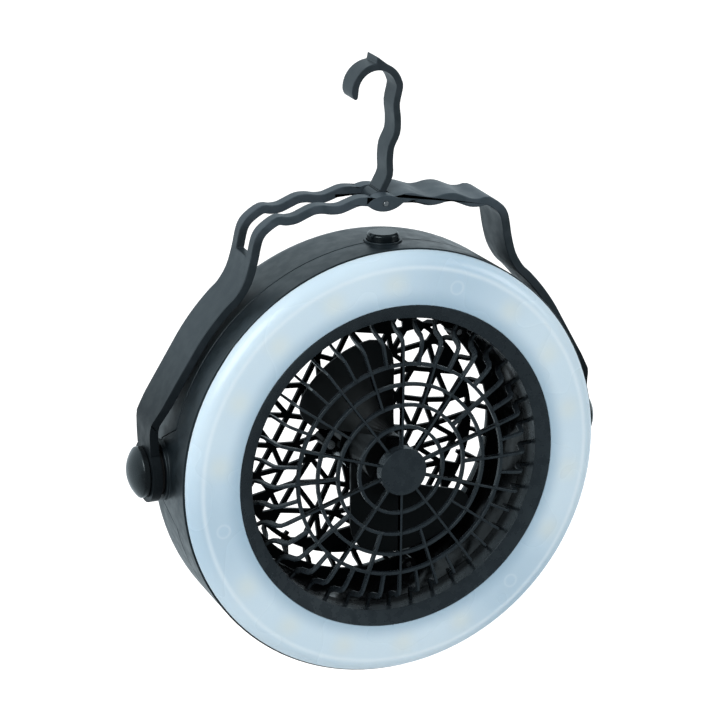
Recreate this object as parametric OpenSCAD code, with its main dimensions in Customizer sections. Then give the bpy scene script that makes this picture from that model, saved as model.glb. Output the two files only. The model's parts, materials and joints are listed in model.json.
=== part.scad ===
// Portable camping fan with a ring light: a round housing between the ends of a
// carrying handle, with a folding hook on top. The front faces -Y and +Z is up.
// The origin is the seat inside the hook, where the fan hangs.

/* [Housing] */
// Outer radius of the housing
housing_r = 95.5; // [92:0.5:102]
// Depth from the light ring's front rim to the rear face
housing_depth = 49.5; // [48:0.5:56]
// Wall of the housing
shell_wall = 2.2; // [1.8:0.1:2.6]
// Radius of the rounded rear edge
rear_round = 12; // [8:0.5:14]
// Depth of the seam between the two shells
seam_depth = 16.5; // [15.5:0.5:19]
// Gap along the seam
seam_gap = 0.3; // [0.1:0.1:0.6]
// Depth of the inner floor's front face, which carries the lamp board
floor_depth = 7.4; // [7:0.1:7.4]
// Thickness of the inner floor
floor_t = 1.8; // [1.4:0.1:1.8]

/* [Light ring] */
// Width of the light ring, from the housing's outside to its inner edge
ring_width = 23.2; // [21.5:0.1:24]
// Wall of the milky cover
diffuser_wall = 1.6; // [1.2:0.1:2]
// How far the cover bulges forward of its rim
diffuser_rise = 4.4; // [3.5:0.1:5]
// Radius of the cover's outer shoulder
diffuser_round = 7; // [5:0.5:8]
// Number of lamps on each of the three curved boards
leds_per_board = 5; // [3:1:6]
// Distance from the housing's outside to the circle that the lamps stand on
led_inset = 13.5; // [12:0.5:14.5]
// Diameter of a lamp
led_d = 5; // [4:0.5:5.5]
// Half the angle between two boards, where a screw post stands
board_break = 13; // [10:0.5:15]
// Thickness of the lamp boards
board_t = 1.6; // [1:0.1:1.8]

/* [Front grille] */
// Distance from the housing's outside to the inside of the air duct
duct_inset = 29.5; // [28.5:0.1:30.5]
// Wall of the air duct
duct_wall = 1.6; // [1.2:0.1:2]
// Forward reach of the grille in front of the rim
grille_rise = 7; // [5.5:0.5:8]
// Radius of the hub disc
hub_disc_r = 10.5; // [9:0.5:14]
// How far the hub disc stands proud of the ribs
hub_disc_rise = 2; // [1:0.1:3]
// Radii of the four rings as shares of the radius where the ribs bend back
ring_shares = [0.3316, 0.4974, 0.6547, 0.8068];
// Width of a ring
ring_w = 1.4; // [1:0.1:2]
// Width of a rib
rib_w = 1.1; // [0.8:0.1:1.6]
// Thickness of a rib, seen from the side
rib_t = 2.4; // [1.8:0.1:3]
// Distance from the inside of the duct to the bend of the ribs
rib_bend_inset = 7.5; // [6.5:0.5:10]
// Depth of the ribs behind the flat front
cage_depth = 10.8; // [9:0.2:12]

/* [Rear grille] */
// Distance between the lattice's joints
cell_pitch = 13.5; // [12:0.5:18]
// Width of a lattice bar
lattice_bar = 2.2; // [1.6:0.1:2.6]
// Thickness of the lattice
lattice_t = 2; // [1.5:0.1:3]
// Number of bent bars round the lattice
rear_bars = 30; // [24:2:40]

/* [Fan and motor] */
// Gap between the blade tips and the duct
tip_gap = 16; // [10:0.5:20]
// Gap between the blades' rear edge and the motor
blade_gap = 4.1; // [2.6:0.1:4.6]
// Axial height of the blades
blade_height = 17.5; // [12:0.5:19]
// Number of blades
blade_count = 2; // [2:1:3]
// Angle that a blade spans round the hub
blade_span = 76; // [60:2:90]
// Thickness of a blade
blade_t = 1.6; // [1.2:0.1:2.4]
// Radius of the blades' rounded tip corners
tip_corner = 13; // [8:0.5:16]
// Distance of a blade's straight edges from the fan's middle
blade_edge = 10; // [6:0.5:10]
// Radius of the fan hub
fan_hub_r = 10.9; // [9:0.1:12]
// Radius of the motor
motor_r = 12.2; // [10:0.1:14]
// Length of the motor body
motor_len = 15.4; // [12:0.2:16]
// Radius of the motor shaft
shaft_r = 1; // [0.75:0.05:1.5]

/* [Button] */
// Diameter of the power button
button_d = 13.6; // [11:0.1:15]
// Height of the button above the housing
button_rise = 3.7; // [3:0.1:5]
// Travel of the button
button_travel = 2; // [1:0.1:2.4]

/* [Batteries] */
// Radius of a cell
cell_r = 7.25; // [7:0.05:7.25]
// Length of a cell with its nub
cell_len = 50.5; // [48:0.5:50.5]
// Distance from the housing's outside to the cells' axes
cell_inset = 15.5; // [15.2:0.1:16]
// Angle of each battery box below the horizontal
box_angle = 45; // [40:1:50]

/* [Pivots] */
// Depth of the tilt axis behind the light ring's rim
pivot_depth = 30.5; // [28:0.5:32]
// Height of the tilt axis above the fan's axis
pivot_rise = 0.8; // [0:0.1:2.5]
// How far the front is tipped up when the fan hangs straight
head_tip = 2.4; // [0:0.2:4]
// Radius of the pivot stem
stem_r = 5; // [4:0.25:6]
// Radius of the knob
knob_r = 11; // [10:0.1:12.5]
// Height of the knob's cylindrical rim
knob_rim = 2.6; // [2:0.1:4]
// Height of the knob's dome
knob_dome = 4.4; // [2:0.1:5]
// Radius of the boss on the housing
boss_r = 13.2; // [11.5:0.1:14]
// How far the boss stands out from the housing
boss_rise = 1.2; // [1:0.1:3]
// Thickness of the friction washer
washer_t = 1.8; // [1:0.1:2.6]

/* [Handle] */
// How far the grip's top stands out from the housing
grip_over = 18.9; // [17.5:0.2:20.5]
// Width of the handle, front to back
handle_w = 23; // [20:0.5:26]
// Thickness of the handle strap
strap_t = 3.8; // [3.2:0.1:4.4]
// How far the handle's shoulders lie inside the housing's outside
shoulder_inset = 38.5; // [35.5:0.5:41.5]
// Drop from the grip's top to the shoulders
shoulder_drop = 16.2; // [15:0.2:18.4]
// Drop of the grip from its middle to its shoulders
grip_droop = 5.6; // [4:0.2:7]
// Height of the finger waves
grip_wave = 1; // [0:0.1:1.4]
// Length of one finger wave
wave_pitch = 20; // [16:1:24]
// Gap between the handle's sides and the housing
side_gap = 2.2; // [2:0.1:5]
// Radius of the eye at each end
eye_r = 13.2; // [12.5:0.1:14.5]
// Thickness of the eye
eye_t = 4.1; // [3.4:0.1:5]

/* [Hook] */
// How far the hook's pin lies below the grip's top
pin_drop = 2.8; // [2:0.1:3.6]
// Radius of the hook's pin
pin_r = 1.1; // [0.9:0.05:1.6]
// Width of the hook strip
hook_w = 11; // [9:0.5:13]
// Thickness of the hook strip
hook_t = 3.1; // [2.6:0.1:3.6]
// Inner radius of the hook's curl
curl_in_r = 8.5; // [7:0.1:9]
// Height of the curl's centre above the pin
hook_reach = 46.9; // [45:0.1:48]
// How far the curl's centre lies to the left of the pin
hook_lean = 2.2; // [1.5:0.1:3]
// Angle through which the hook folds into the handle
fold_angle = 104; // [100:1:106]

/* [Clearances] */
// Radial clearance where a part turns on a stem or pin
turn_gap = 0.06; // [0.02:0.01:0.1]
// Gap between neighbouring parts
fit_gap = 0.3; // [0.1:0.05:0.4]
// Gap where one part seats on another
seat_gap = 0.1; // [0.02:0.01:0.2]

/* [Hidden] */
$fn = 96;

shell_in_r = housing_r - shell_wall;
rear_inner_depth = housing_depth - shell_wall;
floor_back = floor_depth + floor_t;
diffuser_in_r = housing_r - ring_width;
duct_r = housing_r - duct_inset;
duct_out_r = duct_r + duct_wall;
rib_bend_r = duct_r - rib_bend_inset;
rim_depth = 1.4;
diffuser_top = -diffuser_rise;

eye_in_x = housing_r + boss_rise + seat_gap + washer_t + seat_gap;
eye_out_x = eye_in_x + eye_t;
knob_base_x = eye_out_x + seat_gap * 2;

grip_h = housing_r + grip_over;
shoulder_x = housing_r - shoulder_inset;
shoulder_h = grip_h - shoulder_drop;
pin_h = grip_h - pin_drop;
seat_rise = hook_reach + sqrt(pow(curl_in_r, 2) - pow(hook_lean, 2));
pivot_drop = pin_h + seat_rise;
curl_r = curl_in_r + hook_t / 2;

left = -1;
right = 1;

// ---------- frames ----------
// Parts of the head are drawn face up: x to the right, y up the front, z forward,
// with z = 0 at the tilt axis. A depth is measured back from the light ring's rim.
function at(depth) = pivot_depth - depth;

module head_frame() {
    translate([0, 0, -pivot_drop]) rotate([90 - head_tip, 0, 0])
        translate([0, -pivot_rise, 0]) children();
}

module handle_frame() {
    translate([0, 0, -pivot_drop]) rotate([90, 0, 0]) children();
}

module hook_frame() {
    translate([0, 0, -seat_rise]) rotate([90, 0, 0]) children();
}

// ---------- shapes used by several parts ----------
module tube(outer, inner, front, back) {
    translate([0, 0, at(back)]) difference() {
        cylinder(r = outer, h = back - front);
        translate([0, 0, -1]) cylinder(r = inner, h = back - front + 2);
    }
}

module disc(radius, front, back) {
    translate([0, 0, at(back)]) cylinder(r = radius, h = back - front);
}

// A profile of [radius, depth] points turned about the fan's axis
module turned(profile) {
    rotate_extrude() polygon([for (p = profile) [p.x, at(p.y)]]);
}

// Copies at a radius, one for each angle
module around(angles, radius) {
    for (a = angles) rotate([0, 0, a]) translate([radius, 0, 0]) children();
}

// A countersunk screw that points forward, with its head's face at a depth
module flat_screw(head_back, length, thread_r = 1.4, head_r = 2.6) {
    translate([0, 0, at(head_back)]) {
        cylinder(r1 = head_r, r2 = thread_r, h = head_r - thread_r, $fn = 32);
        cylinder(r = thread_r, h = length, $fn = 32);
    }
}

module flat_screw_hole(head_back, length, thread_r = 1.4, head_r = 2.6) {
    translate([0, 0, at(head_back) - 0.01]) {
        cylinder(r1 = head_r + seat_gap, r2 = thread_r + seat_gap,
                 h = head_r - thread_r + 0.01, $fn = 32);
        translate([0, 0, -1]) cylinder(r = head_r + seat_gap, h = 1.001, $fn = 32);
        cylinder(r = thread_r + seat_gap, h = length, $fn = 32);
    }
}

// A pan-head screw that points forward
module pan_screw(head_front, length, thread_r = 1.4, head_r = 2.7, head_h = 1.8) {
    translate([0, 0, at(head_front)]) {
        cylinder(r = thread_r, h = length, $fn = 32);
        difference() {
            translate([0, 0, -head_h]) cylinder(r = head_r, h = head_h, $fn = 32);
            for (a = [0, 90]) rotate([0, 0, a])
                translate([-head_r * 0.6, -0.3, -head_h - 0.1]) cube([head_r * 1.2, 0.6, 0.8]);
        }
    }
}

// ---------- plane curves ----------
function polar(r, a) = [r * cos(a), r * sin(a)];
function turn(p, a) = [p.x * cos(a) - p.y * sin(a), p.x * sin(a) + p.y * cos(a)];
function unit(v) = v / norm(v);
function heading(run, i) = unit(run[min(i + 1, len(run) - 1)] - run[max(i - 1, 0)]);
function offset_side(run, i, d) = run[i] + [-heading(run, i).y, heading(run, i).x] * d;

// Outline of a strip along a run of points; its last points may narrow to a round end
function strip_width(run, i, w, narrow) =
    w * (1 - pow(max(0, i - len(run) + 1 + narrow) / max(1, narrow), 2) * 0.7);
function strip(run, w, narrow = 0) = concat(
    [for (i = [0 : len(run) - 1]) offset_side(run, i, strip_width(run, i, w, narrow) / 2)],
    [for (i = [len(run) - 1 : -1 : 0]) offset_side(run, i, -strip_width(run, i, w, narrow) / 2)]);

// Smooth run through control points
function spline_at(p, i, t) =
    let (a = p[max(i - 1, 0)], b = p[i], c = p[i + 1], d = p[min(i + 2, len(p) - 1)])
    0.5 * (2 * b + (c - a) * t + (2 * a - 5 * b + 4 * c - d) * t * t
           + (3 * b - a - 3 * c + d) * t * t * t);
function smooth(p, steps) = concat(
    [for (i = [0 : len(p) - 2], k = [0 : steps - 1]) spline_at(p, i, k / steps)],
    [p[len(p) - 1]]);

// ---------- housing ----------
boss_out_x = housing_r + boss_rise;
boss_in_x = shell_in_r - 7;
flange_r = stem_r + 2;
flange_t = 2.6;
housing_screw_angles = [30, 150, 193, 270, 347];
housing_screw_r = shell_in_r - 6.7;
pillar_r = 3.8;
jog_half = 14;
jog_run = 8;

// The skin of both shells before it is parted
module shell_skin() {
    rotate_extrude() difference() {
        union() {
            translate([0, at(housing_depth - rear_round)])
                square([housing_r, housing_depth - rear_round - rim_depth]);
            translate([0, at(housing_depth)]) square([housing_r - rear_round, rear_round + 1]);
            translate([housing_r - rear_round, at(housing_depth - rear_round)])
                circle(r = rear_round);
        }
        translate([0, at(housing_depth - rear_round)])
            square([shell_in_r, housing_depth]);
        translate([0, at(rear_inner_depth)])
            square([housing_r - rear_round, rear_round]);
        translate([housing_r - rear_round, at(housing_depth - rear_round)])
            circle(r = rear_round - shell_wall);
        translate([-1, at(housing_depth) - 1]) square([duct_r + 1.4, housing_depth + 2]);
        translate([-housing_r, at(housing_depth) - 1]) square([housing_r, housing_depth + 40]);
    }
}

module pivot_place(side) {
    translate([0, pivot_rise, 0]) rotate([0, side * 90, 0]) children();
}

module pivot_bosses() {
    for (side = [left, right]) pivot_place(side)
        translate([0, 0, boss_in_x]) cylinder(r = boss_r, h = boss_out_x - boss_in_x);
}

module pivot_hollows() {
    for (side = [left, right]) pivot_place(side) {
        translate([0, 0, boss_in_x - 1])
            cylinder(r = stem_r + seat_gap, h = boss_out_x - boss_in_x + 2);
        translate([0, 0, boss_in_x + 2])
            cylinder(r = flange_r + fit_gap, h = flange_t + seat_gap * 2);
    }
}

// Everything in front of the seam, which steps back to the tilt axis at the pivots
module front_side(gap) {
    half = housing_r + 20;
    lo = at(seam_depth) + gap;
    mid = gap;
    rotate([90, 0, 90]) translate([0, 0, -half]) linear_extrude(2 * half)
        polygon([
            [-half, half], [-half, lo],
            [pivot_rise - jog_half - jog_run, lo], [pivot_rise - jog_half, mid],
            [pivot_rise + jog_half, mid], [pivot_rise + jog_half + jog_run, lo],
            [half, lo], [half, half]]);
}

module shell_body() {
    difference() {
        union() {
            shell_skin();
            pivot_bosses();
        }
        pivot_hollows();
        button_hole();
    }
}

module button_hole() {
    translate([0, 0, at(seam_depth)]) rotate([-90, 0, 0]) {
        translate([0, 0, shell_in_r - 6]) cylinder(r = button_d / 2 + fit_gap, h = 20);
        translate([0, 0, collar_seat - seat_gap / 2]) cylinder(r = collar_r + seat_gap / 2, h = 20);
    }
}

module front_shell() {
    color("#87909a") head_frame() {
        intersection() {
            shell_body();
            front_side(0);
        }
        difference() {
            union() {
                tube(shell_in_r + 0.4, duct_out_r + fit_gap, floor_depth, floor_back);
                around(housing_screw_angles, housing_screw_r)
                    disc(pillar_r, floor_depth, seam_depth + 4);
                board_holes(2.4, floor_depth + 0.5, floor_back + post_h);
            }
            around(housing_screw_angles, housing_screw_r)
                disc(1.4 + seat_gap, seam_depth - 4, seam_depth + 5);
            board_holes(1 + seat_gap, floor_depth + 1, floor_back + 5);
            around(diffuser_screw_angles, diffuser_screw_r)
                flat_screw_hole(floor_back, 8);
            around(grille_screw_angles, grille_screw_r)
                flat_screw_hole(floor_back, 8, 1.1, 1.9);
        }
    }
}

module rear_shell() {
    color("#7f8892") head_frame() difference() {
        union() {
            difference() {
                shell_body();
                front_side(-seam_gap);
            }
            around(housing_screw_angles, housing_screw_r)
                disc(pillar_r, seam_depth + 4.3, rear_inner_depth - 0.4);
        }
        around(housing_screw_angles, housing_screw_r) {
            disc(1.4 + fit_gap, seam_depth, housing_depth);
            disc(2.7 + fit_gap, seam_depth + 7.6, housing_depth + 1);
        }
        for (side = [left, right]) door_opening(side, 0);
    }
}

// ---------- light ring ----------
diffuser_screw_angles = [72, 192, 312];
diffuser_screw_r = housing_r - 14;
diffuser_out_r = housing_r - 0.5;
skirt_r = shell_in_r - 0.2;

module diffuser_ring() {
    shoulder_r = diffuser_out_r - diffuser_round;
    inner_round = diffuser_round - diffuser_wall;
    edge = [for (a = [90 : -10 : 20]) polar(diffuser_round, a)];
    inner_edge = [for (a = [20 : 10 : 90]) polar(inner_round, a)];
    color("#dfe9f2") head_frame() difference() {
        union() {
            turned(concat(
                [[diffuser_in_r, floor_depth - seat_gap], [diffuser_in_r, diffuser_top]],
                [for (p = edge) [shoulder_r + p.x, diffuser_top + diffuser_round - p.y]],
                [[diffuser_out_r, rim_depth - seat_gap], [skirt_r, rim_depth - seat_gap],
                 [skirt_r, floor_depth - seat_gap],
                 [skirt_r - diffuser_wall, floor_depth - seat_gap]],
                [for (p = inner_edge)
                    [min(shoulder_r + p.x, skirt_r - diffuser_wall),
                     diffuser_top + diffuser_round - p.y]],
                [[diffuser_in_r + diffuser_wall, diffuser_top + diffuser_wall],
                 [diffuser_in_r + diffuser_wall, floor_depth - seat_gap]]));
            around(diffuser_screw_angles, diffuser_screw_r)
                disc(2.8, diffuser_top + 0.5, floor_depth - seat_gap);
        }
        around(diffuser_screw_angles, diffuser_screw_r)
            disc(1.4 + seat_gap, diffuser_top + 3, floor_depth + 1);
    }
}

module diffuser_screws() {
    color("silver") head_frame()
        around(diffuser_screw_angles, diffuser_screw_r)
            flat_screw(floor_back, floor_back - diffuser_top - 3.4);
}

board_in_r = diffuser_in_r + diffuser_wall + fit_gap;
board_out_r = skirt_r - diffuser_wall - fit_gap;
board_front = floor_depth - board_t - seat_gap;

// Three curved boards, with a break at each screw post
module led_board() {
    color("#e8eae6") head_frame() difference() {
        tube(board_out_r, board_in_r, board_front, floor_depth - seat_gap);
        for (a = diffuser_screw_angles) translate([0, 0, at(floor_depth + 1)])
            linear_extrude(board_t + 3) polygon([
                [0, 0], polar(2 * board_out_r, a - board_break), polar(2 * board_out_r, a + board_break)]);
    }
}

led_flange_t = 1;
led_height = 7.2;
led_back = board_front - seat_gap;
led_step = 120 / (leds_per_board + 1);
led_circle_r = housing_r - led_inset;

module leds() {
    color("#f3e6a8") head_frame()
        around([for (a = diffuser_screw_angles, k = [1 : leds_per_board]) a + k * led_step],
               led_circle_r) {
            disc(led_d / 2 + 0.4, led_back - led_flange_t, led_back);
            disc(led_d / 2, led_back - led_height + led_d / 2, led_back - led_flange_t);
            translate([0, 0, at(led_back - led_height + led_d / 2)]) sphere(r = led_d / 2, $fn = 24);
        }
}

// ---------- front grille ----------
grille_screw_angles = [12, 132, 252];
grille_screw_r = duct_out_r + 2.15;
ring_radii = rib_bend_r * ring_shares;
bezel_r = diffuser_in_r - 0.1;
bezel_front = diffuser_top - 0.2;
cage_top = -grille_rise;

// Centre line of a cage rib from a start radius to a stop radius
function rib_line(start, stop) = [
    [start, 0], [rib_bend_r - 3.4, 0], [rib_bend_r - 1.2, 0.5], [rib_bend_r + 0.2, 2.2],
    [rib_bend_r + 1.6, cage_depth - 3.4], [rib_bend_r + 3, cage_depth - 1],
    [rib_bend_r + 4.4, cage_depth], [stop, cage_depth]];

// One rib standing in the plane through the fan's axis
module cage_rib(start, stop, front, w, t, flip = 1) {
    rotate([90, 0, 0]) translate([0, 0, -w / 2]) linear_extrude(w)
        polygon([for (p = strip(rib_line(start, stop), t)) [p.x, at(front + flip * (t / 2 + p.y))]]);
}

module front_grille() {
    color("#5c6468") head_frame() {
        turned([
            [bezel_r, bezel_front], [duct_r, bezel_front + 2.8], [duct_r, floor_back - seat_gap],
            [duct_out_r, floor_back - seat_gap], [duct_out_r, bezel_front + 4.4],
            [bezel_r, bezel_front + 1.6]]);
        for (r = ring_radii) tube(r + ring_w / 2, r - ring_w / 2, cage_top + 0.2, cage_top + rib_t - 0.2);
        disc(hub_disc_r, cage_top - hub_disc_rise, cage_top + rib_t + 0.6);
        for (i = [0 : 39]) rotate([0, 0, 90 + i * 9])
            cage_rib(i % 4 == 0 ? hub_disc_r - 2 : i % 2 == 0 ? ring_radii[1] : ring_radii[3],
                     duct_r + duct_wall / 2, cage_top, rib_w, rib_t);
        difference() {
            around(grille_screw_angles, grille_screw_r)
                disc(2.25, bezel_front + 2.2, floor_depth - seat_gap);
            around(grille_screw_angles, grille_screw_r)
                disc(1.1 + seat_gap, bezel_front + 5, floor_depth + 1);
        }
    }
}

module front_grille_screws() {
    color("silver") head_frame()
        around(grille_screw_angles, grille_screw_r)
            flat_screw(floor_back, floor_back - bezel_front - 5.6, 1.1, 1.9);
}

module air_duct() {
    color("#545b5f") head_frame() {
        tube(duct_out_r, duct_r, floor_back + seat_gap, rear_inner_depth - seat_gap);
        difference() {
            around(rear_screw_angles, rear_screw_r)
                disc(3.4, cage_back - 8, cage_back - seat_gap);
            around(rear_screw_angles, rear_screw_r)
                disc(1.4 + seat_gap, cage_back - 9, cage_back + 1);
        }
    }
}

// ---------- rear grille ----------
lattice_back = housing_depth - 2;
lattice_r = rib_bend_r - 1;
cage_back = lattice_back - lattice_t - cage_depth;
rear_screw_angles = [48, 168, 288];
rear_screw_r = duct_r - 3.2;
motor_seat_r = motor_r + 1.8;
motor_lug_r = motor_seat_r + 2.2;

// A joint of the lattice, shifted a little by a rule of its own place
function joint(i, j) = let (p = cell_pitch * [i + j / 2, j * sqrt(3) / 2])
    p + cell_pitch * 0.2 * [sin(p.x * 41 + p.y * 67), cos(p.x * 59 - p.y * 37)];
function merged(i, j) = (i * 7 + j * 5) % 3 == 0;
function middle(p) = [for (v = [0, 1]) [for (q = p) 1] * [for (q = p) q[v]] / len(p)];
function inward(a, b) = unit([a.y - b.y, b.x - a.x]);
// A polygon whose sides are moved inwards
function inset(p, d) = let (n = len(p)) [for (i = [0 : n - 1])
    let (u = inward(p[(i + n - 1) % n], p[i]), v = inward(p[i], p[(i + 1) % n]))
    p[i] + (u + v) * d / (1 + u * v)];

module lattice_hole(corners) {
    c = norm(middle(corners));
    if (c < lattice_r - 4 && c > motor_seat_r + cell_pitch * 0.3)
        intersection() {
            polygon(inset(corners, lattice_bar / 2));
            circle(r = lattice_r - lattice_bar);
        }
}

module lattice() {
    reach = ceil(lattice_r / cell_pitch) + 1;
    translate([0, 0, at(lattice_back)]) linear_extrude(lattice_t) difference() {
        circle(r = lattice_r);
        for (i = [-reach - 2 : reach + 2], j = [-reach : reach]) {
            if (merged(i, j)) {
                lattice_hole([joint(i, j), joint(i + 1, j), joint(i + 1, j + 1), joint(i, j + 1)]);
            } else {
                lattice_hole([joint(i, j), joint(i + 1, j), joint(i, j + 1)]);
                lattice_hole([joint(i + 1, j), joint(i + 1, j + 1), joint(i, j + 1)]);
            }
        }
    }
}

module rear_grille() {
    color("#5c6468") head_frame() {
        difference() {
            union() {
                lattice();
                disc(motor_seat_r, motor_back - 9, lattice_back);
            }
            disc(motor_r + seat_gap, motor_back - 20, motor_back + seat_gap);
            around([0, 180], motor_lug_r)
                disc(1.1, motor_back - 10, motor_back);
        }
        difference() {
            around([0, 180], motor_lug_r) disc(2.6, motor_back - 9, motor_back + 1);
            around([0, 180], motor_lug_r) disc(1.1, motor_back - 10, motor_back - 2);
            disc(motor_r + seat_gap, motor_back - 20, motor_back + seat_gap);
        }
        for (i = [0 : rear_bars - 1]) rotate([0, 0, (i + 0.5) * 360 / rear_bars])
            cage_rib(rib_bend_r - 5, duct_r - 1.5, lattice_back, lattice_bar * 0.8, lattice_t, -1);
        translate([0, 0, at(cage_back + lattice_t)]) linear_extrude(lattice_t) difference() {
            union() {
                difference() {
                    circle(r = duct_r - seat_gap);
                    circle(r = rib_bend_r + 2.4);
                }
                around(rear_screw_angles, rear_screw_r) circle(r = 2.9);
            }
            around(rear_screw_angles, rear_screw_r) circle(r = 1.4 + seat_gap);
        }
    }
}

module rear_grille_screws() {
    color("silver") head_frame()
        around(rear_screw_angles, rear_screw_r) pan_screw(cage_back + lattice_t, 9);
}

// ---------- motor and fan ----------
motor_back = lattice_back - lattice_t;
motor_front = motor_back - motor_len;
blade_front = motor_front - blade_gap - blade_height;
shaft_front = blade_front + 2;

module motor() {
    color("silver") head_frame() difference() {
        union() {
            disc(motor_r, motor_front, motor_back);
            disc(3, motor_front - 1.2, motor_front + 1);
        }
        disc(shaft_r + turn_gap, motor_front - 3, motor_back - 2);
    }
}

module motor_clamp() {
    color("#494f52") head_frame() difference() {
        union() {
            disc(motor_seat_r, motor_front - 1.6, motor_front - seat_gap);
            tube(motor_seat_r, motor_r + fit_gap, motor_front - 1.6, motor_back - 9.1);
            around([0, 180], motor_lug_r) disc(2.6, motor_back - 11.1, motor_back - 9.1);
        }
        disc(3 + fit_gap, motor_front - 3, motor_front + 1);
        disc(motor_r + seat_gap, motor_front - seat_gap, motor_back);
        around([0, 180], motor_lug_r) disc(1.1, motor_back - 12, motor_back);
    }
}

module motor_screws() {
    color("silver") head_frame() around([0, 180], motor_lug_r) {
        disc(1.0, motor_back - 11.5, motor_back - 3);
        disc(1.9, motor_back - 12.6, motor_back - 11.2);
    }
}

module motor_shaft() {
    color("silver") head_frame() disc(shaft_r, shaft_front, motor_back - 3);
}

// A blade is a grid of points on a twisted sheet: rows lie at growing radii and
// columns run round from the rear edge (v = 0) to the front edge (v = 1)
fan_r = duct_r - tip_gap;
blade_foot_r = fan_hub_r - 0.8;
blade_radii = concat(
    [for (k = [0, 0.223, 0.482, 0.741]) blade_foot_r + k * (fan_r - tip_corner - blade_foot_r)],
    [for (k = [1, 0.7, 0.42, 0.23, 0.09, 0]) fan_r - k * tip_corner]);
blade_steps = 12;

function tip_trim(r) =
    tip_corner * (1 - sqrt(1 - pow(max(0, r - fan_r + tip_corner) / tip_corner, 2)));
function blade_start(r) = acos(min(1, blade_edge / r));
function blade_point(r, v, side) =
    let (trim = tip_trim(r) / r * 180 / PI,
         swept = trim + (blade_span - 2 * trim) * v,
         slope = blade_height / (r * blade_span * PI / 180),
         rise = side * blade_t / 2 * sqrt(1 + slope * slope),
         p = polar(r, blade_start(r) + swept))
    [p.x, p.y, at(blade_front + blade_height * (1 - swept / blade_span)) + rise];

module blade() {
    n = len(blade_radii);
    m = blade_steps + 1;
    function id(top, i, k) = (top * n + i) * m + k;
    polyhedron(
        points = [for (side = [-1, 1], r = blade_radii, k = [0 : blade_steps])
            blade_point(r, k / blade_steps, side)],
        faces = concat(
            [for (i = [0 : n - 2], k = [0 : m - 2])
                each [[id(1, i, k), id(1, i, k + 1), id(1, i + 1, k + 1)],
                      [id(1, i, k), id(1, i + 1, k + 1), id(1, i + 1, k)],
                      [id(0, i, k), id(0, i + 1, k + 1), id(0, i, k + 1)],
                      [id(0, i, k), id(0, i + 1, k), id(0, i + 1, k + 1)]]],
            [for (k = [0 : m - 2])
                each [[id(0, 0, k), id(0, 0, k + 1), id(1, 0, k + 1), id(1, 0, k)],
                      [id(0, n - 1, k), id(1, n - 1, k), id(1, n - 1, k + 1), id(0, n - 1, k + 1)]]],
            [for (i = [0 : n - 2])
                each [[id(0, i, 0), id(1, i, 0), id(1, i + 1, 0), id(0, i + 1, 0)],
                      [id(0, i, m - 1), id(0, i + 1, m - 1), id(1, i + 1, m - 1), id(1, i, m - 1)]]]),
        convexity = 6);
}

module fan_rotor() {
    hub_back = blade_front + blade_height;
    color("#2c2a30") head_frame() {
        difference() {
            union() {
                disc(fan_hub_r, blade_front - 1, blade_front + 2);
                tube(fan_hub_r, fan_hub_r - 1.5, blade_front - 1, hub_back + 1);
                disc(3.2, blade_front, hub_back);
            }
            disc(shaft_r, shaft_front - seat_gap, hub_back + 2);
        }
        for (i = [0 : blade_count - 1]) rotate([0, 0, i * 360 / blade_count]) blade();
    }
}

// ---------- button and switch ----------
button_top = housing_r + button_rise;
button_r = button_d / 2;
button_foot = shell_in_r - button_travel - 0.1;
collar_r = button_r + 1.2;
collar_seat = housing_r - 1;
cap_hollow = 3;

module on_top() {
    translate([0, 0, at(seam_depth)]) rotate([-90, 0, 0]) children();
}

module power_button() {
    color("#23262a") head_frame() on_top() difference() {
        union() {
            translate([0, 0, button_foot]) cylinder(r = button_r, h = button_top - button_foot - 0.8);
            translate([0, 0, button_top - 0.8]) cylinder(r1 = button_r, r2 = button_r - 0.8, h = 0.8);
            translate([-button_r - 1.6, -4, button_foot]) cube([2 * button_r + 3.2, 8, 1.1]);
        }
        translate([0, 0, button_foot - 1]) cylinder(r = button_r - 1.5, h = cap_hollow + 1);
    }
}

module button_collar() {
    color("#2f3236") head_frame() on_top() difference() {
        translate([0, 0, collar_seat]) cylinder(r = collar_r, h = 1.5);
        translate([0, 0, collar_seat - 1]) cylinder(r = button_r + 0.25, h = 4);
    }
}

post_h = 2;
circuit_t = 1.6;
board_front_face = floor_back + post_h + seat_gap;
board_back = board_front_face + circuit_t;
board_corner = [-22, shell_in_r - 23.3];
board_size = [34, 14];
board_screws_at = [for (x = [4, 30.5]) board_corner + [x, 3.4]];

switch_top = shell_in_r - 9;
switch_w = 10;
switch_h = 8.5;
switch_front = board_back + seat_gap;
switch_deep = 2 * (seam_depth - switch_front);
plunger_r = 1.8;
plunger_low = 3;

module switch_plunger() {
    color("white") head_frame() on_top() translate([0, 0, switch_top - plunger_low])
        cylinder(r = plunger_r, h = button_foot + cap_hollow - seat_gap - switch_top + plunger_low);
}

module switch_body() {
    color("#3a3d40") head_frame() difference() {
        translate([-switch_w / 2, switch_top - switch_h, at(switch_front + switch_deep)])
            cube([switch_w, switch_h, switch_deep]);
        on_top() translate([0, 0, switch_top - plunger_low - button_travel - 1])
            cylinder(r = plunger_r + turn_gap, h = 20);
    }
}

module board_holes(r, front, back) {
    for (p = board_screws_at) translate(p) disc(r, front, back);
}

module control_board() {
    color("#2f6b43") head_frame() difference() {
        translate([board_corner.x, board_corner.y, at(board_back)])
            cube([board_size.x, board_size.y, circuit_t]);
        board_holes(1.3, board_front_face - 1, board_back + 1);
    }
}

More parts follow.
